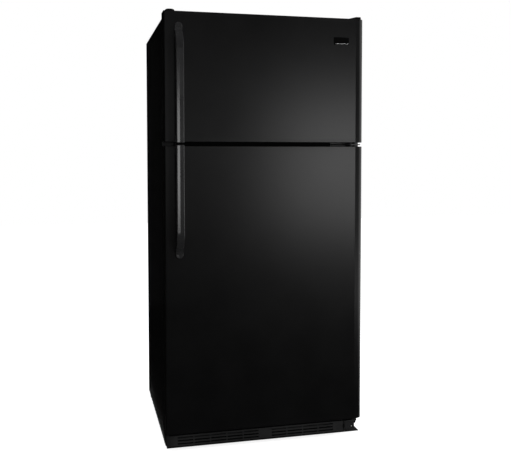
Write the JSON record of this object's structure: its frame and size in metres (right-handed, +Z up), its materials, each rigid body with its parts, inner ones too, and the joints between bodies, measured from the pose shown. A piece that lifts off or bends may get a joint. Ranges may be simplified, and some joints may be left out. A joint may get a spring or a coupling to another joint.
{
  "type": "top freezer refrigerator",
  "caption": "Free-standing black refrigerator with a freezer on top: right-hinged doors with arched bar handles, slotted toe grille, shelves, crisper drawers and door bins.",
  "frame": {"origin": "on the floor under the middle of the whole appliance, handles included", "axes": "+X to the right of someone facing the doors, +Y to the back, +Z up"},
  "size_m": [0.762, 0.75, 1.615],
  "materials": {
    "black_enamel": "textured semi-gloss black enamel",
    "black_plastic": "satin moulded black",
    "rail_black": "matt black paint",
    "cap_black": "moulded black, toned to the enamel",
    "handle_plastic": "semi-gloss moulded black",
    "white_liner": "thermoformed white, satin",
    "clear_plastic": "clear moulded, glossy",
    "glass": "tempered, polished edges",
    "lamp_glass": "frosted",
    "galvanised": "galvanised sheet",
    "zinc": "zinc plated",
    "hinge_black": "black painted steel",
    "compressor_black": "black stove enamel",
    "coil_aluminium": "mill finish",
    "white_wire": "white vinyl coated wire",
    "grey_plastic": "satin grey",
    "nylon": "black nylon",
    "gasket": "soft magnetic seal",
    "foam": "rigid polyurethane foam, light"
  },
  "bodies": {
    "cabinet": {"cabinet_shell": "black_enamel", "back_panel": "galvanised", "cabinet_foam": "foam", "freezer_liner": "white_liner", "fridge_liner": "white_liner", "mullion_rail": "rail_black", "base_frame": "hinge_black", "levelling_legs": "zinc", "toe_grille": "black_plastic", "machine_cover": "galvanised", "compressor": "compressor_black", "condenser_coil": "compressor_black", "condenser_fan_motor": "galvanised", "drain_pan": "black_plastic", "evaporator_coil": "coil_aluminium", "evaporator_cover": "white_liner", "evaporator_fan_motor": "galvanised", "freezer_shelf": "white_wire", "shelf_frames": "white_liner", "shelf_glass": "glass", "control_housing": "white_liner", "lamp": "lamp_glass", "light_switch": "white_liner", "top_hinge": "zinc", "top_hinge_cover": "black_plastic", "centre_hinge": "hinge_black", "bottom_hinge": "hinge_black", "hinge_pins": "zinc", "hinge_screws": "hinge_black"},
    "freezer_door": {"freezer_door_skin": "black_enamel", "freezer_door_foam": "foam", "freezer_door_caps": "cap_black", "freezer_door_liner": "white_liner", "freezer_door_rim": "white_liner", "freezer_gasket": "gasket", "freezer_handle": "handle_plastic", "freezer_door_bins": "clear_plastic", "freezer_door_bushes": "nylon", "hinge_hole_plug": "cap_black"},
    "fridge_door": {"fridge_door_skin": "black_enamel", "fridge_door_foam": "foam", "fridge_door_caps": "cap_black", "fridge_door_liner": "white_liner", "fridge_door_rim": "white_liner", "fridge_gasket": "gasket", "fridge_handle": "handle_plastic", "fridge_door_bins": "clear_plastic", "fridge_door_bushes": "nylon", "dairy_rack": "white_liner"},
    "left_roller": {"left_roller": "black_plastic"},
    "right_roller": {"right_roller": "black_plastic"},
    "condenser_fan": {"condenser_fan": "black_plastic"},
    "evaporator_fan": {"evaporator_fan": "black_plastic"},
    "left_crisper": {"left_crisper": "clear_plastic"},
    "right_crisper": {"right_crisper": "clear_plastic"},
    "freezer_knob": {"freezer_knob": "grey_plastic"},
    "fridge_knob": {"fridge_knob": "grey_plastic"},
    "light_switch_plunger": {"light_switch_plunger": "white_liner"},
    "dairy_door": {"dairy_door": "clear_plastic"}
  },
  "joints": [
    {"name": "freezer_door_swing", "type": "hinge", "parent": "cabinet", "child": "freezer_door", "pos_m": [0.355, -0.298, 1.372], "axis": [0, 0, 1], "range_deg": [0, 130]},
    {"name": "fridge_door_swing", "type": "hinge", "parent": "cabinet", "child": "fridge_door", "pos_m": [0.355, -0.298, 0.5945], "axis": [0, 0, 1], "range_deg": [0, 130]},
    {"name": "dairy_door_lift", "type": "hinge", "parent": "fridge_door", "child": "dairy_door", "pos_m": [-0.154, -0.1757, 1.0485], "axis": [1, 0, 0], "range_deg": [0, 85]},
    {"name": "left_crisper_slide", "type": "slide", "parent": "cabinet", "child": "left_crisper", "axis": [0, -1, 0], "range_m": [0, 0.07]},
    {"name": "right_crisper_slide", "type": "slide", "parent": "cabinet", "child": "right_crisper", "axis": [0, -1, 0], "range_m": [0, 0.07]},
    {"name": "freezer_knob_turn", "type": "hinge", "parent": "cabinet", "child": "freezer_knob", "pos_m": [-0.075, -0.063, 1.0745], "axis": [0, -1, 0], "range_deg": [-135, 135]},
    {"name": "fridge_knob_turn", "type": "hinge", "parent": "cabinet", "child": "fridge_knob", "pos_m": [0.075, -0.063, 1.0745], "axis": [0, -1, 0], "range_deg": [-135, 135]},
    {"name": "light_switch_press", "type": "slide", "parent": "cabinet", "child": "light_switch_plunger", "axis": [0, -1, 0], "range_m": [0, 0.006]},
    {"name": "evaporator_fan_spin", "type": "hinge", "parent": "cabinet", "child": "evaporator_fan", "pos_m": [0, 0.26, 1.447], "axis": [0, 1, 0], "continuous": true},
    {"name": "condenser_fan_spin", "type": "hinge", "parent": "cabinet", "child": "condenser_fan", "pos_m": [0.0307, 0.255, 0.145], "axis": [1, 0, 0], "continuous": true},
    {"name": "left_roller_roll", "type": "hinge", "parent": "cabinet", "child": "left_roller", "pos_m": [-0.365, 0.331, 0.022], "axis": [1, 0, 0], "continuous": true},
    {"name": "right_roller_roll", "type": "hinge", "parent": "cabinet", "child": "right_roller", "pos_m": [0.365, 0.331, 0.022], "axis": [1, 0, 0], "continuous": true}
  ],
  "couplings": [
    {"joint": "light_switch_press", "follows": "fridge_door_swing", "m_per_rad": 0.0026443}
  ]
}
